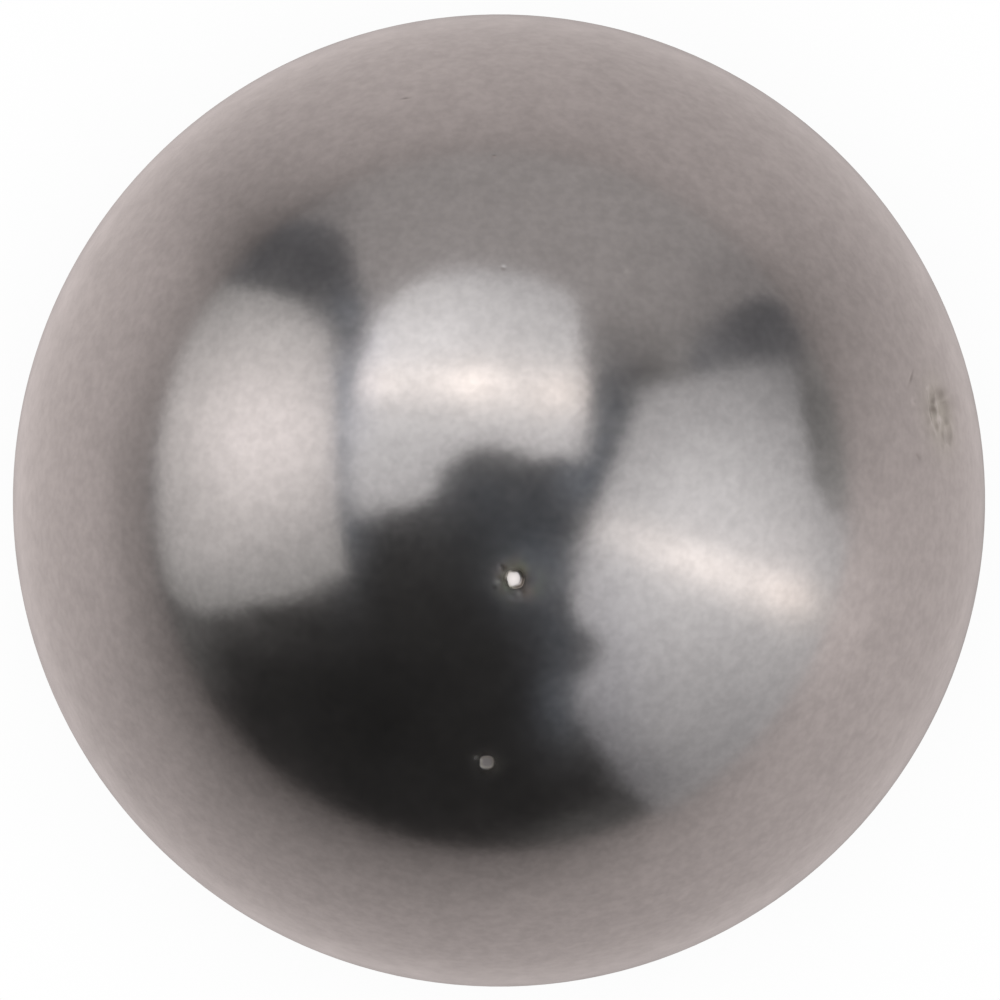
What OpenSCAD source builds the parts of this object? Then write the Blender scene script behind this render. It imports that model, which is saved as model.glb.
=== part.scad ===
// Polished steel ball, one solid piece, with the pits and the nick that wear has left in it.
// Lengths are in millimetres and angles in degrees. The origin is the centre of the ball.
// Each mark has a place on the ball: its tilt is measured down from the top of the ball,
// and its bearing is measured round the upright axis from +X towards +Y.

/* [Ball] */
// Diameter of the ball
ball_d = 10; // [3:0.5:50]

/* [Top pit] */
// Tilt of the pit that lies near the top of the ball
top_pit_tilt = 9.3; // [0:0.1:30]
// Bearing of the top pit
top_pit_bearing = -78.9; // [-180:0.1:180]
// Width of the top pit at its mouth
top_pit_w = 0.17; // [0.1:0.01:0.4]
// Depth of the top pit below its mouth
top_pit_depth = 0.02; // [0.01:0.005:0.05]

/* [Lower pit] */
// Tilt of the pit that lies halfway down the ball
lower_pit_tilt = 32.1; // [31:0.1:60]
// Bearing of the lower pit
lower_pit_bearing = -92.6; // [-180:0.1:180]
// Width of the lower pit at its mouth
lower_pit_w = 0.15; // [0.1:0.01:0.4]
// Depth of the lower pit below its mouth
lower_pit_depth = 0.015; // [0.01:0.005:0.05]

/* [Pit shoulders] */
// Width of the shallow dish that is pressed in round each pit
shoulder_w = 0.36; // [0.3:0.01:0.6]
// Depth of that dish below its mouth
shoulder_depth = 0.005; // [0.003:0.001:0.02]

/* [Side nick] */
// Tilt of the nick's middle, near the widest line of the ball
nick_tilt = 66.6; // [62:0.1:100]
// Bearing of the nick's middle
nick_bearing = 10.9; // [-180:0.1:180]
// Width of the nick's main hollow at its mouth
nick_w = 0.52; // [0.3:0.01:0.8]
// Depth of the nick's main hollow below its mouth
nick_depth = 0.035; // [0.01:0.005:0.08]
// Distance from the middle of the main hollow to the middle of each chip beside it
nick_chip_reach = 0.22; // [0.1:0.01:0.4]
// Direction in which the upper chip lies, from straight down the ball towards its left side
nick_chip_turn = 120; // [0:1:180]
// Width of each chip at its mouth
nick_chip_w = 0.26; // [0.1:0.01:0.4]
// Depth of each chip below its mouth
nick_chip_depth = 0.03; // [0.01:0.005:0.04]

/* [Hidden] */

ball_r = ball_d / 2;
pole_tilt = 90;
pole_bearing = 40;
opposite = 180;
ball_fn = 180;
hollow_fn = 96;

// A direction from the ball's centre, made the upright axis of what it holds
module towards(tilt, bearing) {
    rotate([0, 0, bearing])
        rotate([0, tilt, 0])
            children();
}

// Round hollow at the top of the ball: a sphere that crosses the skin in a circle of the mouth's width
module hollow(mouth_w, depth) {
    mouth_r = mouth_w / 2;
    mouth_height = sqrt(ball_r * ball_r - mouth_r * mouth_r);
    hollow_r = (mouth_r * mouth_r + depth * depth) / (2 * depth);
    translate([0, 0, mouth_height - depth + hollow_r])
        sphere(r = hollow_r, $fn = hollow_fn);
}

// Pit with the shallow dish round it
module pit(mouth_w, depth) {
    hollow(shoulder_w, shoulder_depth);
    hollow(mouth_w, depth);
}

// Chip that starts beside the middle of the nick, in the direction that the turn gives
module nick_chip(turn) {
    chip_angle = 2 * asin(nick_chip_reach / ball_d);
    towards(chip_angle, turn)
        hollow(nick_chip_w, nick_chip_depth);
}

// Nick: one main hollow with a chip on its upper and on its lower edge
module nick() {
    hollow(nick_w, nick_depth);
    nick_chip(nick_chip_turn);
    nick_chip(nick_chip_turn + opposite);
}

module ball() {
    color([0.62, 0.6, 0.59])
        difference() {
            // The sphere's own poles lie on the widest line, turned clear of every mark
            towards(pole_tilt, pole_bearing)
                sphere(r = ball_r, $fn = ball_fn);
            towards(top_pit_tilt, top_pit_bearing)
                pit(top_pit_w, top_pit_depth);
            towards(lower_pit_tilt, lower_pit_bearing)
                pit(lower_pit_w, lower_pit_depth);
            towards(nick_tilt, nick_bearing)
                nick();
        }
}

ball();
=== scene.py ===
"""Looks of the steel ball: its skin with every mark of wear, its polish, and a small white studio."""

import math

import bmesh
import bpy
import numpy as np
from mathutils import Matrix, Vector
from mathutils.geometry import tessellate_polygon


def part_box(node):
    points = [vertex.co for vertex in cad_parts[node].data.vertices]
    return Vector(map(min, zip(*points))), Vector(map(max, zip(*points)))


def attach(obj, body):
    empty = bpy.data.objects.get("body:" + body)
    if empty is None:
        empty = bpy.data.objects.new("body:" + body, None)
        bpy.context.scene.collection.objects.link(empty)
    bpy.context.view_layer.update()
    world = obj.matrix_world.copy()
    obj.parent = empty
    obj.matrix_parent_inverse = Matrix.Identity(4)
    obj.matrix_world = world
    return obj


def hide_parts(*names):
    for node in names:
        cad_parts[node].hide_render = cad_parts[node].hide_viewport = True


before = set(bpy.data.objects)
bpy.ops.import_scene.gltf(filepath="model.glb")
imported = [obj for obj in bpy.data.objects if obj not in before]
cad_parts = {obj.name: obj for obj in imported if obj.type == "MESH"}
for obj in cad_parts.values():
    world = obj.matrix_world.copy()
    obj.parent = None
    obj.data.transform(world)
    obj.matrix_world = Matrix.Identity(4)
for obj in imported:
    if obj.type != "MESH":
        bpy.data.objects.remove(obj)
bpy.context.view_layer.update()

MM = 0.001

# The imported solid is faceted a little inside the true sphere, so its longest side is the diameter
LOW, HIGH = (np.array(corner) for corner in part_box("ball"))
BALL_R = float((HIGH - LOW).max()) / 2

# Where the ball lies in the photograph, in pixels of a picture 1000 pixels wide
PICTURE_W = 1000
BALL_X = 499.0
BALL_Y = 500.5
BALL_PIXELS = 486.2

CAMERA_HEIGHT = 0.25
SENSOR_W = 36.0
CLIP_START = 0.01
CLIP_END = 10

# Every mark's place: tilt down from the top of the ball and bearing round the upright axis, in degrees.
# The pits and the nick have the solid model's places and sizes. The dish round each pit has its width too,
# but no edge, so it goes a little deeper.
TOP_PIT = dict(tilt=9.3, bearing=-78.9, width=0.17 * MM, depth=0.020 * MM)
LOWER_PIT = dict(tilt=32.1, bearing=-92.6, width=0.15 * MM, depth=0.015 * MM)
SHOULDER_W = 0.36 * MM
SHOULDER_DEPTH = 0.006 * MM
NICK = dict(tilt=66.6, bearing=10.9, width=0.52 * MM, depth=0.035 * MM)
NICK_CHIP_REACH = 0.22 * MM
NICK_CHIP_TURN = 120
NICK_CHIP_W = 0.26 * MM
NICK_CHIP_DEPTH = 0.030 * MM

# Finer marks that only the skin shows: place, width, depth, how long they are for their width, and the
# direction in which they run, turned from straight down the ball. A positive turn is to the right as one
# looks at the mark, which is the ball's own left.
FINE_MARKS = [
    dict(tilt=61.2, bearing=16.7, width=0.05 * MM, depth=0.0060 * MM, length=4.0, turn=34),
    dict(tilt=60.3, bearing=13.5, width=0.07 * MM, depth=0.0080 * MM, length=1.8, turn=10),
    dict(tilt=59.2, bearing=6.0, width=0.09 * MM, depth=0.0090 * MM, length=1.3, turn=150),
    dict(tilt=32.0, bearing=61.1, width=0.07 * MM, depth=0.0035 * MM, length=1.0, turn=0),
    dict(tilt=57.1, bearing=103.1, width=0.04 * MM, depth=0.0045 * MM, length=2.6, turn=75),
    dict(tilt=44.4, bearing=90.8, width=0.04 * MM, depth=0.0055 * MM, length=1.0, turn=0),
    dict(tilt=28.1, bearing=88.9, width=0.05 * MM, depth=0.0012 * MM, length=1.0, turn=0),
    dict(tilt=7.9, bearing=-86.7, width=0.07 * MM, depth=0.0045 * MM, length=1.4, turn=60),
    dict(tilt=9.4, bearing=-89.7, width=0.10 * MM, depth=0.0042 * MM, length=1.0, turn=0),
    dict(tilt=11.0, bearing=-76.9, width=0.10 * MM, depth=0.0036 * MM, length=1.2, turn=20),
    dict(tilt=31.5, bearing=-95.0, width=0.07 * MM, depth=0.0060 * MM, length=1.2, turn=120),
]

# Each pit's floor: how steeply it falls, the direction of the fall, its share of the pit's width, how tall
# it is for its width, how softly it meets the wall, the seed of its outline, how matte it is, how stained its
# wall is, how much dirt and painted shade darken the wall's outer part, and the direction in which they are
# thickest.
# The top pit's floor faces the right-hand light, so it shines.
TOP_FLOOR = dict(
    slope=0.38, turn=82, share=0.94, tall=1.05, wall=0.0055 * MM,
    seed=21, matte=0.12, stained=0.5, outer_dirt_and_shade=0.98, dirt_and_shade_side=42,
)
LOWER_FLOOR = dict(
    slope=0.04, turn=40, share=0.82, tall=1.10, wall=0.0065 * MM,
    seed=22, matte=0.50, stained=0.2, outer_dirt_and_shade=0.50, dirt_and_shade_side=0,
)
FLOOR_CORNERS = 2.6
FLOOR_UNEVEN = 0.04
DISH_UNEVEN = 0.05

# Steps from the seed of a pit's outline to those of its dish, its lumps, its stain and its rust
DISH_SEED = -20
LUMPS_SEED = 20
STAIN_SEED = 60
RUST_SEED = 61

# The nick's hollows: how uneven and how soft their edges are, and the seeds of each one and of the lumps
NICK_UNEVEN = 0.07
NICK_EDGE = 0.004 * MM
NICK_SEED = 3
NICK_CHIP_SEEDS = (4, 5)
NICK_LUMPS_SEED = 8

FINE_UNEVEN = 0.06
FINE_SEED = 60

# The nick's raised lips: metres down and left from the nick's middle, half length, half width, the direction
# in which it runs, and its height
NICK_LIPS = [
    (-0.070 * MM, 0.020 * MM, 0.130 * MM, 0.075 * MM, 90, 0.0300 * MM),
    (0.060 * MM, -0.190 * MM, 0.090 * MM, 0.060 * MM, 60, 0.0080 * MM),
]

# Low lumps in the worn metal round a mark: how far they reach, their width and height, and their number
PIT_LUMPS = dict(reach=0.19 * MM, width=0.034 * MM, height=0.0010 * MM, number=16)
NICK_LUMPS = dict(reach=0.34 * MM, width=0.045 * MM, height=0.0045 * MM, number=50)

# Where the wear, and the painted shade in the nick and round the pits, show in the metal itself: tilt,
# bearing, length for its width, the direction in which it runs, half its width, and its share. Each one is
# strongest in its middle and fades out over its width.
# Dirt and painted shade: dark patches that stand for the dirt in the nick, the pits and the fine marks, and
# for the shade on their walls
DIRT_AND_SHADE_PATCHES = [
    (66.1, 13.0, 3.0, 15, 0.036 * MM, 0.50),
    (68.0, 13.3, 4.0, 10, 0.034 * MM, 0.36),
    (65.0, 11.9, 3.2, -6, 0.042 * MM, 0.56),
    (69.0, 12.4, 4.5, -5, 0.024 * MM, 0.26),
    (67.2, 8.1, 2.4, -10, 0.055 * MM, 0.32),
    (62.6, 10.2, 1.6, 60, 0.065 * MM, 0.12),
    (68.3, 13.6, 3.2, 0, 0.060 * MM, 0.42),
    (70.9, 12.2, 3.5, 0, 0.075 * MM, 0.26),
    (65.4, 9.6, 2.4, 0, 0.045 * MM, 0.28),
    (69.8, 10.3, 4.0, 0, 0.070 * MM, 0.10),
    (61.2, 16.6, 7.0, 34, 0.018 * MM, 0.24),
    (59.0, 6.1, 1.5, 150, 0.032 * MM, 0.32),
    (57.1, 103.1, 3.0, 80, 0.016 * MM, 0.32),
    (44.4, 90.8, 1.0, 0, 0.016 * MM, 0.45),
    (7.9, -86.7, 1.8, 20, 0.024 * MM, 0.55),
    (10.1, -92.7, 1.0, 0, 0.026 * MM, 0.42),
    (10.3, -78.4, 1.3, 90, 0.022 * MM, 0.30),
    (30.8, -93.4, 1.3, 90, 0.022 * MM, 0.65),
    (33.6, -93.4, 1.0, 90, 0.022 * MM, 0.60),
    (33.5, -91.7, 1.0, 90, 0.022 * MM, 0.55),
]
BARE = [
    (66.4, 11.1, 2.4, 90, 0.048 * MM, 0.75),
    (66.5, 10.5, 1.8, 0, 0.048 * MM, 0.90),
    (60.3, 13.2, 2.6, 20, 0.022 * MM, 0.30),
    (9.4, -89.7, 1.0, 0, 0.032 * MM, 0.40),
    (9.3, -78.9, 1.0, 0, 0.075 * MM, 0.80),
    (11.0, -76.9, 1.0, 0, 0.032 * MM, 0.30),
    (31.5, -95.0, 1.0, 0, 0.034 * MM, 0.50),
    (32.0, 61.1, 1.0, 0, 0.030 * MM, 0.25),
]
STAIN = [
    (9.4, -76.0, 1.15, 60, 0.190 * MM, 0.95),
    (9.3, -78.9, 1.0, 0, 0.120 * MM, 0.70),
    (32.1, -92.6, 1.0, 0, 0.130 * MM, 0.30),
    (66.6, 10.9, 1.0, 0, 0.360 * MM, 0.22),
]

# Metal that the wear has left matte, where the share is the extra roughness
MATTE = [
    (66.6, 10.9, 1.0, 0, 0.300 * MM, 0.04),
    (9.3, -78.9, 1.0, 0, 0.170 * MM, 0.03),
    (32.1, -92.6, 1.0, 0, 0.160 * MM, 0.03),
    (31.5, -95.0, 1.0, 0, 0.030 * MM, 0.16),
]

# The stain is patchy, with this mean and these least and greatest shares. Its rust is patchier still.
STAIN_MEAN = 0.75
STAIN_LEAST = 0.3
STAIN_MOST = 1.0
RUST_MEAN = 0.5
RUST_PATCHES = 1.5
STAIN_PATCHES = dict(reach=0.32 * MM, width=0.070 * MM, height=0.40, number=40)

# A pit's wall is a little matte. The dirt and painted shade outside it are thick on the side where the shade
# falls and thin on the other.
WALL_MATTE = 0.10
DIRT_AND_SHADE_PEAK = 1.87
DIRT_AND_SHADE_REACH = 0.25
DIRT_AND_SHADE_EVEN = 0.55
DIRT_AND_SHADE_ONE_SIDED = 0.45

# Shares kept on the skin: wear, and the dirt with its painted shade
WEAR_AND_SHADE = ("dirt_and_shade", "bare", "stain", "rust", "matte")

# Fineness of the skin: how often the whole ball and the rings round each mark are split, how far each mark
# reaches, and the margin of the widest ring. A fine mark's reach is a share of its size.
BALL_SPLITS = 6
MARK_SPLITS = 5
PIT_REACH = 0.26 * MM
PIT_CORE_REACH = 0.11 * MM
NICK_REACH = 0.42 * MM
FINE_MARK_REACH = 0.6
WIDEST_MARGIN = 0.24 * MM

# Keeps the powers of e below within range
LARGEST_POWER = 60

# A dimple's spread as a share of its width, and the numbers of waves that make an outline ragged
DIMPLE_SPREAD = 0.4
RAGGED_WAVES = range(2, 8)

# The cosine of the angle within which a pit stains the metal and darkens it with dirt and painted shade
CLOSE_BY = 0.99

# The step over which the skin's slope is measured, and how near an axis is too near for a helper direction
NORMAL_STEP = 1e-4 * MM
POLE = 0.9


# Geometry of the skin


def towards(tilt, bearing):
    """Unit vector from the ball's centre to a place on its skin."""
    tilt, bearing = math.radians(tilt), math.radians(bearing)
    return Vector((math.sin(tilt) * math.cos(bearing), math.sin(tilt) * math.sin(bearing), math.cos(tilt)))


def mark_axes(mark):
    """Unit vectors to the mark's middle, straight down the ball there, and to the ball's own left."""
    out = towards(mark["tilt"], mark["bearing"])
    down = towards(mark["tilt"] + 90, mark["bearing"])
    return np.array(out), np.array(down), np.array(out.cross(down))


def places_round(mark, outward):
    """Metres down and left from the mark's middle, for each outward direction, and how near that is."""
    out, down, left = mark_axes(mark)
    return BALL_R * (outward @ down), BALL_R * (outward @ left), outward @ out


def along_and_across(down, left, turn):
    """Metres along and across a direction that is turned by degrees from straight down the ball."""
    turn = math.radians(turn)
    along = down * math.cos(turn) + left * math.sin(turn)
    across = left * math.cos(turn) - down * math.sin(turn)
    return along, across


def hollow(distance, width, depth, soft):
    """Depth of a round hollow at each distance from its middle, with its edge rolled over by soft metres."""
    bowl = depth * (1 - (distance / (width / 2)) ** 2)
    return -soft * np.logaddexp(0, np.clip(bowl / soft, -LARGEST_POWER, LARGEST_POWER))


def dimple(distance, width, depth):
    """Depth of a round dip with no edge at all, at each distance from its middle."""
    return -depth * np.exp(-((distance / (DIMPLE_SPREAD * width)) ** 2))


def ragged(angle, seed, amount):
    """Factor on a radius that makes a round outline uneven. The seed picks which way."""
    draw = np.random.default_rng(seed)
    waves = 0
    for count in RAGGED_WAVES:
        size = draw.uniform(-1, 1) / count**0.5
        waves = waves + size * np.cos(count * angle + draw.uniform(0, 2 * math.pi))
    return 1 + amount * waves


def lumps(down, left, kind, seed):
    """Low, soft bumps and dimples scattered round a mark's middle. The seed picks where."""
    draw = np.random.default_rng(seed)
    height = np.zeros(len(down))
    for _ in range(kind["number"]):
        angle, reach = draw.uniform(0, 2 * math.pi), kind["reach"] * draw.uniform(0, 1) ** 0.5
        away = np.hypot(down - reach * math.cos(angle), left - reach * math.sin(angle)) / kind["width"]
        height += draw.uniform(-1, 1) * kind["height"] * np.exp(-(away**2))
    return height


def pit_floor(mark, floor, down, left):
    """1 on a pit's uneven, squarish floor, and 0 outside its wall."""
    uneven = ragged(np.arctan2(left, down), floor["seed"], FLOOR_UNEVEN)
    corners = FLOOR_CORNERS
    squarish = (np.abs(down / floor["tall"]) ** corners + np.abs(left) ** corners) ** (1 / corners) / uneven
    rim = floor["share"] * mark["width"] / 2
    return 1 / (1 + np.exp(np.clip((squarish - rim) / floor["wall"], -LARGEST_POWER, LARGEST_POWER)))


def pit_height(mark, floor, outward):
    """A pit: a floor that falls to one side, the wall round it, and the worn dish round that."""
    down, left, near = places_round(mark, outward)
    distance = np.hypot(down, left) / ragged(np.arctan2(left, down), floor["seed"] + DISH_SEED, DISH_UNEVEN)
    height = dimple(distance, SHOULDER_W, SHOULDER_DEPTH)
    along, _ = along_and_across(down, left, floor["turn"])
    fall = floor["slope"] * along
    height += lumps(down, left, PIT_LUMPS, floor["seed"] + LUMPS_SEED)
    height -= pit_floor(mark, floor, down, left) * (mark["depth"] + fall)
    return np.where(near > 0, height, 0)


def spread(marks, outward):
    """The strongest share of those marks of wear, for each outward direction."""
    strongest = np.zeros(len(outward))
    for tilt, bearing, length, turn, half_width, share in marks:
        down, left, near = places_round(dict(tilt=tilt, bearing=bearing), outward)
        along, across = along_and_across(down, left, turn)
        faded = share * np.exp(-((along / (length * half_width)) ** 2 + (across / half_width) ** 2))
        strongest = np.maximum(strongest, np.where(near > 0, faded, 0))
    return strongest


def wear_and_shade_shares(outward):
    """Shares of dirt and painted shade, bare metal, stain, its rusty part, and extra roughness, for each
    outward direction.
    """
    dirt_and_shade, stain, matte = spread(DIRT_AND_SHADE_PATCHES, outward), spread(STAIN, outward), spread(MATTE, outward)
    rust = np.zeros(len(outward))
    for mark, floor in ((TOP_PIT, TOP_FLOOR), (LOWER_PIT, LOWER_FLOOR)):
        down, left, near = places_round(mark, outward)
        here = near > CLOSE_BY
        inside = pit_floor(mark, floor, down, left)
        wall = 4 * inside * (1 - inside)
        patches = STAIN_MEAN + lumps(down, left, STAIN_PATCHES, floor["seed"] + STAIN_SEED)
        patches = np.clip(patches, STAIN_LEAST, STAIN_MOST)
        stain = np.where(here, np.maximum(stain * patches * (1 - inside), floor["stained"] * wall), stain)
        # The dark ring outside each pit wall is dirt and painted shade, heavier on the side where the shade
        # falls
        turned = np.arctan2(left, down) - math.radians(floor["dirt_and_shade_side"])
        outer = DIRT_AND_SHADE_PEAK * inside**DIRT_AND_SHADE_REACH * (1 - inside) * (DIRT_AND_SHADE_EVEN + DIRT_AND_SHADE_ONE_SIDED * np.cos(turned))
        dirt_and_shade = np.where(here, np.maximum(dirt_and_shade, floor["outer_dirt_and_shade"] * outer), dirt_and_shade)
        matte += np.where(here, floor["matte"] * inside + WALL_MATTE * wall, 0)
        rusty = lumps(down, left, STAIN_PATCHES, floor["seed"] + RUST_SEED)
        rust += np.where(here, RUST_MEAN + RUST_PATCHES * rusty, 0)
    return {
        "dirt_and_shade": dirt_and_shade,
        "bare": spread(BARE, outward),
        "stain": stain,
        "rust": np.clip(rust, 0, 1),
        "matte": matte,
    }


def nick_height(outward):
    """The nick on the ball's side: an uneven main hollow, a chip above and below it, and torn metal."""
    down, left, near = places_round(NICK, outward)
    height = np.zeros(len(outward))
    pieces = [(0, 0, NICK["width"], NICK["depth"], NICK_SEED)]
    for turn, seed in zip((NICK_CHIP_TURN, NICK_CHIP_TURN + 180), NICK_CHIP_SEEDS):
        turn = math.radians(turn)
        reach_down, reach_left = NICK_CHIP_REACH * math.cos(turn), NICK_CHIP_REACH * math.sin(turn)
        pieces.append((reach_down, reach_left, NICK_CHIP_W, NICK_CHIP_DEPTH, seed))
    for at_down, at_left, width, depth, seed in pieces:
        angle = np.arctan2(left - at_left, down - at_down)
        distance = np.hypot(down - at_down, left - at_left) / ragged(angle, seed, NICK_UNEVEN)
        height = np.minimum(height, hollow(distance, width, depth, NICK_EDGE))
    for at_down, at_left, half_length, half_width, turn, rise in NICK_LIPS:
        along, across = along_and_across(down - at_down, left - at_left, turn)
        height += rise * np.exp(-((along / half_length) ** 2) - (across / half_width) ** 2)
    height += lumps(down, left, NICK_LUMPS, NICK_LUMPS_SEED)
    return np.where(near > 0, height, 0)


def fine_marks_height(outward):
    """The short scratch, the small dings and the specks."""
    height = np.zeros(len(outward))
    for seed, mark in enumerate(FINE_MARKS):
        down, left, near = places_round(mark, outward)
        along, across = along_and_across(down, left, mark["turn"])
        uneven = ragged(np.arctan2(across, along), seed + FINE_SEED, FINE_UNEVEN)
        distance = np.hypot(along / mark["length"], across) / uneven
        height += np.where(near > 0, dimple(distance, mark["width"], mark["depth"]), 0)
    return height


def skin_height(outward):
    """Metres above the true sphere, for each outward direction."""
    height = pit_height(TOP_PIT, TOP_FLOOR, outward)
    height += pit_height(LOWER_PIT, LOWER_FLOOR, outward)
    height += nick_height(outward)
    height += fine_marks_height(outward)
    return height


def skin_points(outward):
    """Points of the skin in those directions."""
    return outward * (BALL_R + skin_height(outward))[:, None]


def skin_normals(outward):
    """Outward normals of the skin, from its slope over a step much smaller than any mark."""
    step = NORMAL_STEP / BALL_R
    helper = np.where(np.abs(outward[:, 2:]) < POLE, (0.0, 0.0, 1.0), (1.0, 0.0, 0.0))
    side = np.cross(helper, outward)
    side /= np.linalg.norm(side, axis=1)[:, None]
    front = np.cross(outward, side)

    def moved(direction, amount):
        shifted = outward + amount * direction
        return skin_points(shifted / np.linalg.norm(shifted, axis=1)[:, None])

    along_side = moved(side, step) - moved(side, -step)
    along_front = moved(front, step) - moved(front, -step)
    normals = np.cross(along_side, along_front)
    return normals / np.linalg.norm(normals, axis=1)[:, None]


def refined_sphere():
    """Outward unit vectors and triangles of a sphere that is fine all over and much finer round each mark."""
    bm = bmesh.new()
    bmesh.ops.create_icosphere(bm, subdivisions=BALL_SPLITS, radius=1)
    reaches = [(TOP_PIT, PIT_REACH), (LOWER_PIT, PIT_REACH), (NICK, NICK_REACH)]
    reaches += [(mark, FINE_MARK_REACH * mark["width"] * mark["length"]) for mark in FINE_MARKS]
    finest = [(TOP_PIT, PIT_CORE_REACH), (LOWER_PIT, PIT_CORE_REACH)]
    for level in range(MARK_SPLITS):
        middles = np.array([edge.verts[0].co + edge.verts[1].co for edge in bm.edges])
        middles /= np.linalg.norm(middles, axis=1)[:, None]
        chosen = np.zeros(len(middles), dtype=bool)
        margin = WIDEST_MARGIN * 0.5**level
        for mark, reach in reaches if level < MARK_SPLITS - 1 else finest:
            out = np.array(towards(mark["tilt"], mark["bearing"]))
            chosen |= middles @ out > math.cos((reach + margin) / BALL_R)
        edges = [edge for edge, near in zip(bm.edges, chosen) if near]
        bmesh.ops.subdivide_edges(bm, edges=edges, cuts=1, use_grid_fill=True)
        bmesh.ops.triangulate(bm, faces=[f for f in bm.faces if len(f.verts) > 3])
        for vert in bm.verts:
            vert.co.normalize()
    outward = np.array([vert.co for vert in bm.verts])
    bm.verts.index_update()
    triangles = [[vert.index for vert in face.verts] for face in bm.faces]
    bm.free()
    return outward, triangles


def new_object(name, data):
    """An object of the scene, at the origin, that shows this mesh or camera."""
    thing = bpy.data.objects.new(name, data)
    bpy.context.scene.collection.objects.link(thing)
    return thing


def make_ball():
    """The ball's skin, with normals worked out from its form so that it mirrors without facets."""
    outward, triangles = refined_sphere()
    outward /= np.linalg.norm(outward, axis=1)[:, None]
    mesh = bpy.data.meshes.new("ball_skin")
    mesh.from_pydata(skin_points(outward).tolist(), [], triangles)
    mesh.shade_smooth()
    mesh.normals_split_custom_set_from_vertices(skin_normals(outward).tolist())
    for name, values in wear_and_shade_shares(outward).items():
        mesh.attributes.new(name, "FLOAT", "POINT").data.foreach_set("value", values.astype(np.float32))
    return new_object("ball_skin", mesh)


# Materials


class Nodes:
    """Short calls for building one node tree."""

    def __init__(self, owner):
        owner.use_nodes = True
        self.tree = owner.node_tree
        self.tree.nodes.clear()

    def add(self, kind, **settings):
        """A node of that kind with its settings and inputs. An input's name has _ for each space."""
        node = self.tree.nodes.new(kind)
        for name, value in settings.items():
            socket = node.inputs.get(name.replace("_", " "))
            if socket is None:
                setattr(node, name, value)
            else:
                self.feed(socket, value)
        return node

    def feed(self, socket, value):
        """Links the socket to another node's output, or sets it to a plain value."""
        if isinstance(value, bpy.types.NodeSocket):
            self.tree.links.new(value, socket)
        else:
            socket.default_value = value

    def calc(self, operation, *values):
        """A Math node's result."""
        node = self.tree.nodes.new("ShaderNodeMath")
        node.operation = operation
        for socket, value in zip(node.inputs, values):
            self.feed(socket, value)
        return node.outputs[0]

    def vector(self, operation, *values):
        """A Vector Math node's result."""
        node = self.tree.nodes.new("ShaderNodeVectorMath")
        node.operation = operation
        for socket, value in zip(node.inputs, values):
            self.feed(socket, value)
        return node.outputs["Value" if operation in ("LENGTH", "DOT_PRODUCT") else "Vector"]

    def show(self, shader, output="ShaderNodeOutputMaterial"):
        """Sends a shader to the output of the material or the world."""
        self.feed(self.add(output).inputs["Surface"], shader)

    def ramp(self, value, low, high, start, end):
        """start where the value is low or less, end where it is high or more, and a smooth change between."""
        node = self.add(
            "ShaderNodeMapRange",
            interpolation_type="SMOOTHSTEP",
            Value=value,
            From_Min=low,
            From_Max=high,
            To_Min=start,
            To_Max=end,
        )
        return node.outputs["Result"]

    def noise(self, place, size, detail):
        """Noise from 0 to 1 whose features are about that many metres across."""
        node = self.add("ShaderNodeTexNoise", Vector=place, Scale=1 / size, Detail=detail)
        return node.outputs["Fac"]


def blend(nodes, share, first, second):
    """A colour that goes from the first to the second as the share goes from 0 to 1."""
    mix = nodes.add("ShaderNodeMix", data_type="RGBA", Factor=share)
    nodes.feed(mix.inputs["A"], first)
    nodes.feed(mix.inputs["B"], second)
    return mix.outputs["Result"]


# The two steel tones that the grain, the blotches and the clouds mix, the tones of the wear, and the dark
# tone of dirt and painted shade
DARK_STEEL = (0.510, 0.497, 0.489, 1)
LIGHT_STEEL = (0.630, 0.613, 0.603, 1)
BARE_STEEL = (0.88, 0.86, 0.84, 1)
OIL_STAIN = (0.58, 0.62, 0.34, 1)
RUST_STAIN = (0.72, 0.52, 0.38, 1)
# Dark tone for dirt and painted shade in the nick and round the pits
DIRT_AND_SHADE_TONE = (0.16, 0.14, 0.12, 1)

# How wide each pattern's features are, and its share of the change from dark to light steel
CLOUD_W = 1.6 * MM
CLOUD_SHARE = 0.25
BLOTCH_W = 0.22 * MM
BLOTCH_SHARE = 0.34
GRAIN_W = 0.09 * MM
GRAIN_SHARE = 0.41
GRAIN_HEIGHT = 0.0003 * MM

# The part of a noise's range that a ramp spreads out
NOISE_LOW = 0.3
NOISE_HIGH = 0.7
GRAIN_LOW = 0.25
GRAIN_HIGH = 0.75

# The polish, and how a stain dulls it, covers it and lies on it as a film that is not metal
SMEAR_W = 0.5 * MM
GLOSSIEST = 0.145
DULLEST = 0.185
STAIN_DULL = 0.05
STAIN_COVER = 0.8
STAIN_FILM = 0.15


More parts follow.
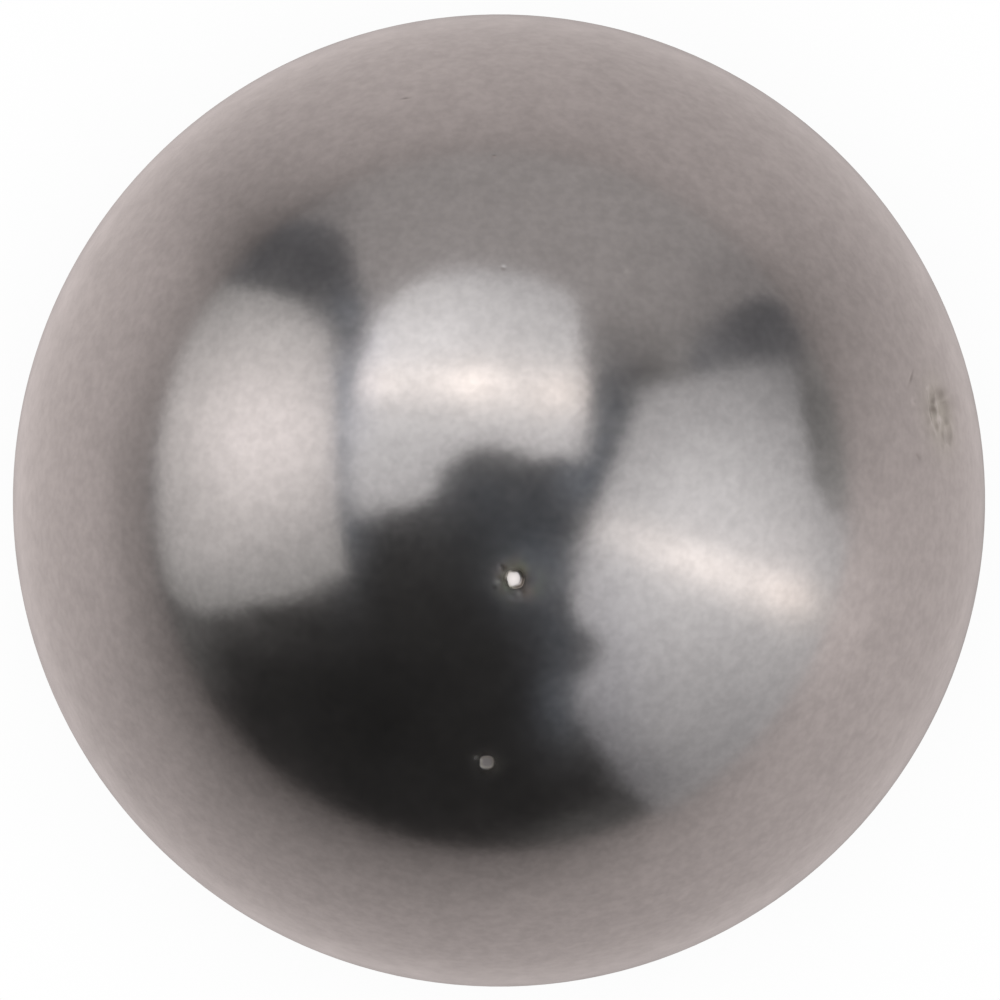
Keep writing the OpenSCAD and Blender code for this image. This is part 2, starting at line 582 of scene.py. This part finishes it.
def steel_material():
    """Polished steel: a fine grain, faint clouds, a gloss that varies a little, the marks' stains, and their
    dirt and painted shade.
    """
    material = bpy.data.materials.new("polished_steel")
    nodes = Nodes(material)
    place = nodes.add("ShaderNodeTexCoord").outputs["Object"]

    clouds = nodes.ramp(nodes.noise(place, CLOUD_W, detail=3), NOISE_LOW, NOISE_HIGH, 0, CLOUD_SHARE)
    blotches = nodes.ramp(nodes.noise(place, BLOTCH_W, detail=2), NOISE_LOW, NOISE_HIGH, 0, BLOTCH_SHARE)
    grain = nodes.noise(place, GRAIN_W, detail=1)
    grains = nodes.ramp(grain, GRAIN_LOW, GRAIN_HIGH, 0, GRAIN_SHARE)
    fleck = nodes.calc("ADD", nodes.calc("ADD", clouds, blotches), grains)
    tone = blend(nodes, fleck, DARK_STEEL, LIGHT_STEEL)

    wear_and_shade = {name: nodes.add("ShaderNodeAttribute", attribute_name=name).outputs["Fac"] for name in WEAR_AND_SHADE}
    stain_tone = blend(nodes, wear_and_shade["rust"], OIL_STAIN, RUST_STAIN)
    tone = blend(nodes, nodes.calc("MULTIPLY", wear_and_shade["stain"], STAIN_COVER), tone, stain_tone)
    tone = blend(nodes, wear_and_shade["bare"], tone, BARE_STEEL)
    # Dirt and painted shade darken the nick, the fine marks and the pits' walls
    tone = blend(nodes, wear_and_shade["dirt_and_shade"], tone, DIRT_AND_SHADE_TONE)

    smears = nodes.noise(place, SMEAR_W, detail=3)
    roughness = nodes.ramp(smears, NOISE_LOW, NOISE_HIGH, GLOSSIEST, DULLEST)
    roughness = nodes.calc("MULTIPLY_ADD", wear_and_shade["stain"], STAIN_DULL, roughness)
    roughness = nodes.calc("ADD", roughness, wear_and_shade["matte"])

    bump = nodes.add("ShaderNodeBump", Height=grain, Strength=1.0, Distance=GRAIN_HEIGHT)
    shader = nodes.add(
        "ShaderNodeBsdfPrincipled",
        Base_Color=tone,
        Metallic=nodes.calc("MULTIPLY_ADD", wear_and_shade["stain"], -STAIN_FILM, 1.0),
        Roughness=roughness,
        Normal=bump.outputs["Normal"],
    )
    nodes.show(shader.outputs["BSDF"])
    return material


# The studio

# How far each part of it stands from the ball's centre, and where the ball mirrors the horizon, as a share of
# the ball's radius in the picture
BOX_DISTANCE = 0.30
FLAG_DISTANCE = 0.32
ROOM_R = 0.6
ROOM_SEGMENTS = 64
FLOOR_R = 2.0
FLOOR_SEGMENTS = 96
HORIZON = 0.73


def on_ball(x, y):
    """Where a pixel of the photograph lies on the ball's disc, as shares of its radius right and up."""
    return (x - BALL_X) / BALL_PIXELS, (BALL_Y - y) / BALL_PIXELS


def mirrored(x, y, distance):
    """The point, at that distance from the ball's centre, that the ball mirrors at this pixel."""
    right, up = on_ball(x, y)
    normal = Vector((right, up, math.sqrt(1 - right**2 - up**2)))
    skin = normal * BALL_R
    sight = (skin - Vector((0, 0, CAMERA_HEIGHT))).normalized()
    ray = sight - 2 * sight.dot(normal) * normal
    along = -skin.dot(ray) + math.sqrt(skin.dot(ray) ** 2 + distance**2 - BALL_R**2)
    return skin + ray * along


def disc_place(nodes):
    """Where the ball's disc mirrors a point of the studio: halfway between its direction and straight up."""
    place = nodes.add("ShaderNodeTexCoord").outputs["Object"]
    direction = nodes.vector("NORMALIZE", place)
    halfway = nodes.vector("NORMALIZE", nodes.vector("ADD", direction, (0, 0, 1)))
    return nodes.vector("MULTIPLY", halfway, (1, 1, 0))


def glow(nodes, disc, light, x, y, half_w, half_h, turn, colour):
    """Adds a soft oval of light mirrored at this pixel: half sizes in pixels, turn in degrees."""
    right, up = on_ball(x, y)
    local = nodes.add("ShaderNodeMapping", vector_type="TEXTURE", Vector=disc)
    local.inputs["Location"].default_value = (right, up, 0)
    local.inputs["Rotation"].default_value = (0, 0, math.radians(turn))
    local.inputs["Scale"].default_value = (half_w / BALL_PIXELS, half_h / BALL_PIXELS, 1)
    distance = nodes.vector("LENGTH", local.outputs["Vector"])
    fade = nodes.calc("EXPONENT", nodes.calc("MULTIPLY", nodes.calc("POWER", distance, 2), -1))
    return nodes.vector("MULTIPLY_ADD", fade, colour, light)


def tint(colour, level):
    """That colour at that level."""
    return tuple(channel * level for channel in colour)


def light_material(name, base, glows, backdrop=None):
    """A lit surface of the studio: an even light, a backdrop and ovals of more or less light."""
    material = bpy.data.materials.new(name)
    material.cycles.emission_sampling = "NONE"
    nodes = Nodes(material)
    disc = disc_place(nodes)
    light = base
    if backdrop:
        low, high, colour, level = backdrop
        up = nodes.add("ShaderNodeSeparateXYZ", Vector=disc).outputs["Y"]
        rise = nodes.ramp(up, on_ball(0, low)[1], on_ball(0, high)[1], 0, 1)
        light = nodes.vector("MULTIPLY_ADD", rise, tint(colour, level), light)
    for *place, colour, level in glows:
        light = glow(nodes, disc, light, *place, tint(colour, level))
    light = nodes.vector("MAXIMUM", light, (0, 0, 0))
    lamp = nodes.add("ShaderNodeEmission", Color=light, Strength=1.0)
    nodes.show(lamp.outputs["Emission"])
    return material


def stage_object(name, mesh, material):
    """Puts a part of the studio into the scene. Only the ball sees it."""
    mesh.materials.append(material)
    thing = new_object(name, mesh)
    thing.visible_camera = False
    thing.visible_diffuse = False
    thing.visible_shadow = False


def make_card(name, outline, distance, base, glows):
    """A lit sheet whose mirror image has this outline, in pixels."""
    flat = [Vector((*on_ball(x, y), 0)) for x, y in outline]
    triangles = tessellate_polygon([flat])
    mesh = bpy.data.meshes.new(name)
    mesh.from_pydata([mirrored(x, y, distance) for x, y in outline], [], [list(t) for t in triangles])
    stage_object(name, mesh, light_material(name, base, glows))


def horizon(start, end, steps):
    """Pixels along the ring where the ball mirrors the floor's far edge, between two bearings in degrees."""
    ring = []
    for i in range(steps + 1):
        bearing = math.radians(start + (end - start) * i / steps)
        right, up = math.cos(bearing), math.sin(bearing)
        ring.append((BALL_X + HORIZON * BALL_PIXELS * right, BALL_Y - HORIZON * BALL_PIXELS * up))
    return ring


# Colours of light
NEUTRAL = (1.0, 0.98, 0.97)
CLEAR = (1.0, 0.98, 0.995)
SOFT_WARM = (1.0, 0.91, 0.90)
WARM = (1.0, 0.86, 0.76)
HOT = (1.0, 0.80, 0.66)
COOL = (0.85, 0.97, 1.16)
BLUE = (0.0, 0.2, 1.0)
PAPER = (1.0, 0.895, 0.875)
BACKDROP = (1.0, 0.93, 0.92)
DIMMED = (1.0, 0.93, 0.89)
SHADED = (0.98, 0.98, 1.05)

# Outlines of the soft boxes' mirror images, in pixels
LEFT_BOX = [
    (211, 289), (262, 292), (302, 306), (336, 335), (340, 400), (341, 470), (344, 530), (352, 572),
    (300, 596), (254, 603), (205, 612), (172, 590), (162, 525), (162, 450), (176, 385), (193, 330),
]
CENTRE_BOX = [
    (402, 296), (428, 281), (470, 273), (530, 279), (572, 300), (583, 360), (586, 420), (581, 462),
    (560, 455), (535, 459), (515, 452), (490, 444), (470, 450), (455, 460), (440, 472), (438, 494),
    (415, 504), (385, 508), (360, 514), (351, 470), (353, 420), (363, 370), (379, 320),
]
RIGHT_BOX = [
    (636, 392), (680, 380), (740, 370), (790, 364), (798, 420), (807, 480), (824, 508),
    *horizon(-5, -54, 8),
    (659, 808), (630, 786), (602, 748), (574, 704), (576, 678), (604, 644), (578, 622), (569, 600),
    (577, 550), (597, 500), (613, 460), (622, 438),
]

# Dark sheets that shade the ceiling behind the boxes
LEFT_FLAG = [
    (226, 300), (224, 270), (236, 243), (258, 231), (285, 225), (330, 226), (350, 241), (357, 262),
    (361, 285), (368, 303), (373, 315), (352, 352), (330, 350), (300, 320),
]
RIGHT_FLAG = [
    (684, 374), (688, 349), (701, 330), (724, 314), (745, 302), (762, 297), (777, 304), (788, 317),
    (795, 331), (798, 346), (796, 368), (760, 385),
]

# Each oval of light: its pixel, half width, half height, turn, colour and level
LEFT_FLAG_GLOWS = [
    (232, 262, 22, 28, 0, SHADED, 0.04),
    (312, 228, 40, 9, 0, SHADED, 0.06),
    (354, 320, 20, 26, 0, COOL, 0.12),
]
RIGHT_FLAG_GLOWS = [
    (704, 356, 24, 20, 0, SHADED, 0.08),
]
LEFT_GLOWS = [
    (268, 436, 100, 92, 0, SOFT_WARM, 0.90),
    (285, 335, 55, 28, 0, NEUTRAL, 0.14),
    (210, 540, 45, 35, 0, SOFT_WARM, 0.14),
]
CENTRE_GLOWS = [
    (425, 342, 60, 34, 0, CLEAR, 0.28),
    (550, 292, 60, 28, 0, CLEAR, -0.16),
    (400, 480, 80, 30, 0, CLEAR, -0.10),
    (480, 386, 150, 22, 0, WARM, 0.45),
    (380, 383, 25, 16, 0, WARM, 0.42),
    (477, 386, 25, 17, 0, WARM, 0.68),
    (556, 398, 28, 17, 0, HOT, 0.43),
    (584, 400, 9, 60, 0, HOT, 0.16),
    (550, 430, 30, 30, 0, SOFT_WARM, 0.08),
    (368, 375, 14, 70, -8, BLUE, 0.08),
    (388, 345, 14, 34, 0, CLEAR, 0.20),
    (490, 277, 70, 12, 0, CLEAR, -0.14),
    (435, 380, 22, 14, 0, WARM, 0.18),
    (515, 402, 26, 14, 0, WARM, 0.12),
]
RIGHT_GLOWS = [
    (690, 558, 115, 105, 0, CLEAR, 0.50),
    (700, 470, 75, 50, 0, CLEAR, 0.15),
    (708, 567, 105, 18, -20.6, WARM, 0.74),
    (785, 594, 30, 20, -20.6, HOT, 0.34),
    (785, 565, 50, 50, 0, SOFT_WARM, 0.16),
    (800, 655, 40, 40, 0, NEUTRAL, 0.07),
    (615, 765, 60, 40, -30, NEUTRAL, -0.20),
    (720, 755, 70, 40, 20, NEUTRAL, -0.07),
    (790, 385, 32, 28, 0, NEUTRAL, -0.14),
    (818, 618, 22, 22, 0, NEUTRAL, -0.07),
    (612, 535, 25, 30, 0, CLEAR, 0.08),
    (600, 650, 45, 110, 0, BLUE, 0.025),
    (600, 712, 26, 30, 0, NEUTRAL, -0.10),
    (660, 777, 42, 24, 0, NEUTRAL, -0.07),
]
ROOM_GLOWS = [
    (318, 210, 42, 24, 0, DIMMED, -0.12),
    (230, 255, 30, 30, 0, DIMMED, -0.08),
    (748, 278, 30, 22, 0, DIMMED, -0.10),
    (680, 356, 32, 22, 0, NEUTRAL, 0.15),
    (706, 285, 32, 34, 0, DIMMED, -0.07),
    (150, 480, 20, 60, 0, NEUTRAL, 0.05),
    (372, 705, 48, 62, 0, NEUTRAL, -0.008),
    (490, 490, 80, 45, 0, COOL, 0.055),
    (578, 482, 24, 28, 0, COOL, 0.11),
    (205, 672, 28, 22, -40, NEUTRAL, 0.06),
    (250, 632, 70, 18, -8, NEUTRAL, 0.03),
    (592, 822, 70, 16, 16, NEUTRAL, 0.09),
    (490, 463, 42, 11, 0, NEUTRAL, 0.08),
    (560, 632, 26, 22, 0, COOL, 0.05),
    (572, 742, 20, 20, 0, NEUTRAL, 0.03),
    (528, 572, 18, 18, 0, COOL, 0.04),
    (438, 518, 22, 14, 0, NEUTRAL, 0.04),
    (600, 425, 35, 60, 0, COOL, 0.12),
    (347, 425, 22, 100, 0, COOL, 0.36),
    (545, 568, 48, 42, 0, COOL, 0.11),
    (562, 695, 24, 42, 0, COOL, 0.11),
    (420, 560, 130, 90, 0, NEUTRAL, 0.012),
    (150, 440, 20, 110, 0, BLUE, 0.03),
    (183, 630, 32, 30, -30, NEUTRAL, 0.10),
    (835, 450, 35, 90, 0, NEUTRAL, 0.24),
    (838, 490, 22, 25, 0, NEUTRAL, 0.16),
    (814, 382, 14, 34, 0, NEUTRAL, 0.10),
]

# Each lit sheet: its name, its image's outline, its distance, its colour and level, and its ovals of light
CARDS = [
    ("left_flag", LEFT_FLAG, FLAG_DISTANCE, SHADED, 0.12, LEFT_FLAG_GLOWS),
    ("right_flag", RIGHT_FLAG, FLAG_DISTANCE, SHADED, 0.135, RIGHT_FLAG_GLOWS),
    ("left_box", LEFT_BOX, BOX_DISTANCE, NEUTRAL, 0.42, LEFT_GLOWS),
    ("centre_box", CENTRE_BOX, BOX_DISTANCE, CLEAR, 0.92, CENTRE_GLOWS),
    ("right_box", RIGHT_BOX, BOX_DISTANCE, CLEAR, 0.50, RIGHT_GLOWS),
]

# The room's dim light, and its backdrop: the pixel rows where it starts and is full, its colour and its level
ROOM_LEVEL = 0.027
ROOM_BACKDROP = (410, 290, BACKDROP, 0.41)


def make_room():
    """The dim room round the studio, which the ball mirrors between the lit sheets."""
    mesh = bpy.data.meshes.new("room")
    bm = bmesh.new()
    bmesh.ops.create_uvsphere(bm, u_segments=ROOM_SEGMENTS, v_segments=ROOM_SEGMENTS // 2, radius=ROOM_R)
    bm.to_mesh(mesh)
    bm.free()
    material = light_material("room", tint(NEUTRAL, ROOM_LEVEL), ROOM_GLOWS, ROOM_BACKDROP)
    stage_object("room", mesh, material)


def lobe(nodes, facing, bearing, half_width, level):
    """A share of light that is strongest at that bearing and fades over half_width degrees to its sides."""
    bearing, half_width = math.radians(bearing), math.radians(half_width)
    near = nodes.vector("DOT_PRODUCT", facing, (math.cos(bearing), math.sin(bearing), 0))
    fade = nodes.calc("EXPONENT", nodes.calc("MULTIPLY", nodes.calc("SUBTRACT", near, 1), 2 / half_width**2))
    return nodes.calc("MULTIPLY", fade, level)


# How much the mirrored floor darkens with distance, the distance in ball radii where it starts, and its level
# there
FLOOR_DARKENING = 0.50
FLOOR_START = 1.7
FLOOR_LEVEL = 0.655

# The floor's shade close to the ball and its level, where the shade at the far edge sets in, and the least
# distance that counts. All but the level are in ball radii.
CONTACT_START = 0.5
CONTACT_END = 1.52
CONTACT_LEVEL = 0.12
EDGE_START = 5.0
EDGE_END = 9.0
NEAREST = 0.3

# The soft shadow that the eye sees: how far it reaches in ball radii, its level under the ball, and how open
# the floor is where it ends
SHADOW_REACH = 5
SHADOW_LEVEL = 0.82
SHADOW_END = 0.85

# The paper's grain, and its own white
PAPER_GRAIN = 0.5 * MM
PAPER_GRAIN_LOW = 0.93
PAPER_GRAIN_HIGH = 1.07
PAPER_WHITE = (0.85, 0.85, 0.85, 1)

# What lights or shades the far floor: bearing, half width and how much less it darkens with distance
FAR_LOBES = [
    (347, 38, 0.50), (296, 32, 0.21), (58, 34, 0.30), (106, 34, 0.29), (184, 28, 0.33),
    (133, 11, -0.16), (30, 12, -0.06), (155, 16, 0.10), (144, 8, 0.14), (270, 20, 0.08),
]

# The same for the floor close by: bearing, half width and how much brighter it is
NEAR_LOBES = [
    (152, 26, 0.10), (178, 22, 0.07), (106, 18, 0.05), (228, 22, -0.09), (45, 25, -0.04), (318, 30, -0.03),
    (276, 28, -0.12), (80, 20, -0.03), (354, 22, -0.03),
]

# Shade at the floor's far edge: bearing, half width and how much darker it is
EDGE_SHADES = [
    (184, 26, 0.24), (340, 10, -0.18), (277, 14, 0.10), (51, 10, -0.12), (125, 8, -0.08), (142, 9, 0.08),
    (222, 12, 0.10),
]


def with_lobes(nodes, facing, operation, value, lobes):
    """The value with each of those shares of light added to it or taken from it."""
    for settings in lobes:
        value = nodes.calc(operation, value, lobe(nodes, facing, *settings))
    return value


def mirrored_level(nodes):
    """How bright the ball sees the paper at each place."""
    place = nodes.vector("MULTIPLY", nodes.add("ShaderNodeTexCoord").outputs["Object"], (1, 1, 0))
    facing = nodes.vector("NORMALIZE", place)
    distance = nodes.calc("MAXIMUM", nodes.vector("LENGTH", place), NEAREST * BALL_R)
    darkening = with_lobes(nodes, facing, "SUBTRACT", FLOOR_DARKENING, FAR_LOBES)
    near = with_lobes(nodes, facing, "ADD", 1.0, NEAR_LOBES)
    away = nodes.calc("DIVIDE", distance, FLOOR_START * BALL_R)
    level = nodes.calc("POWER", away, nodes.calc("MULTIPLY", darkening, -1))
    noise = nodes.noise(place, PAPER_GRAIN, detail=3)
    grain = nodes.ramp(noise, NOISE_LOW, NOISE_HIGH, PAPER_GRAIN_LOW, PAPER_GRAIN_HIGH)
    level = nodes.calc("MULTIPLY", level, near)
    level = nodes.calc("MULTIPLY", level, nodes.calc("MULTIPLY", grain, FLOOR_LEVEL))
    shade = with_lobes(nodes, facing, "ADD", 0.0, EDGE_SHADES)
    reach = nodes.ramp(distance, EDGE_START * BALL_R, EDGE_END * BALL_R, 0.0, 1.0)
    level = nodes.calc("MULTIPLY", level, nodes.calc("SUBTRACT", 1.0, nodes.calc("MULTIPLY", shade, reach)))
    contact = nodes.ramp(distance, CONTACT_START * BALL_R, CONTACT_END * BALL_R, CONTACT_LEVEL, 1.0)
    return nodes.calc("MULTIPLY", level, contact)


def paper_material():
    """White paper. It is plain white to the eye with a painted soft shadow round the ball, and the ball
    mirrors painted light and shade on it.
    """
    material = bpy.data.materials.new("paper")
    material.cycles.emission_sampling = "NONE"
    nodes = Nodes(material)
    level = mirrored_level(nodes)
    shadow = nodes.add("ShaderNodeAmbientOcclusion", Distance=SHADOW_REACH * BALL_R).outputs["AO"]
    to_eye = nodes.ramp(shadow, 0.0, SHADOW_END, SHADOW_LEVEL, 1.0)
    path = nodes.add("ShaderNodeLightPath")
    seen = nodes.calc("ADD", path.outputs["Is Camera Ray"], path.outputs["Is Glossy Ray"])
    seen = nodes.calc("ADD", seen, path.outputs["Is Transmission Ray"])
    strength = nodes.add("ShaderNodeMix", Factor=path.outputs["Is Camera Ray"])
    nodes.feed(strength.inputs["A"], level)
    nodes.feed(strength.inputs["B"], to_eye)
    colour = blend(nodes, path.outputs["Is Camera Ray"], (*PAPER, 1), (1, 1, 1, 1))
    light = nodes.add("ShaderNodeEmission", Color=colour, Strength=strength.outputs["Result"])
    paper = nodes.add("ShaderNodeBsdfDiffuse", Color=PAPER_WHITE)
    both = nodes.add("ShaderNodeMixShader", Fac=seen)
    nodes.feed(both.inputs[1], paper.outputs["BSDF"])
    nodes.feed(both.inputs[2], light.outputs["Emission"])
    nodes.show(both.outputs["Shader"])
    return material


def make_floor():
    """The sheet of paper that the ball lies on."""
    mesh = bpy.data.meshes.new("floor")
    bm = bmesh.new()
    bmesh.ops.create_circle(bm, cap_ends=True, segments=FLOOR_SEGMENTS, radius=FLOOR_R)
    bmesh.ops.translate(bm, verts=bm.verts, vec=(0, 0, -BALL_R))
    bm.to_mesh(mesh)
    bm.free()
    mesh.materials.append(paper_material())
    new_object("floor", mesh)


def make_world():
    """White beyond the floor, to the eye and in mirrors, and a plain soft light for everything else."""
    world = bpy.data.worlds.new("world")
    bpy.context.scene.world = world
    nodes = Nodes(world)
    light = nodes.add("ShaderNodeBackground", Color=(1, 1, 1, 1), Strength=1.0)
    nodes.show(light.outputs["Background"], "ShaderNodeOutputWorld")


def make_studio():
    """The three soft boxes and two dark sheets behind them, placed by their images in the ball."""
    for name, outline, distance, colour, level, glows in CARDS:
        make_card(name, outline, distance, tint(colour, level), glows)


def make_camera():
    """Looks straight down on the ball, which fills the frame as it does in the photograph."""
    data = bpy.data.cameras.new("camera")
    data.sensor_width = SENSOR_W
    half_view = BALL_R / math.sqrt(CAMERA_HEIGHT**2 - BALL_R**2) * (PICTURE_W / 2) / BALL_PIXELS
    data.lens = SENSOR_W / 2 / half_view
    data.shift_x = 0.5 - BALL_X / PICTURE_W
    data.shift_y = BALL_Y / PICTURE_W - 0.5
    data.clip_start = CLIP_START
    data.clip_end = CLIP_END
    camera = new_object("camera", data)
    camera.location = (0, 0, CAMERA_HEIGHT)
    bpy.context.scene.camera = camera


make_camera()
make_world()
make_floor()
make_room()
make_studio()

ball = make_ball()
ball.data.materials.append(steel_material())
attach(ball, "root")
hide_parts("ball")

bpy.context.scene.view_settings.view_transform = "Standard"
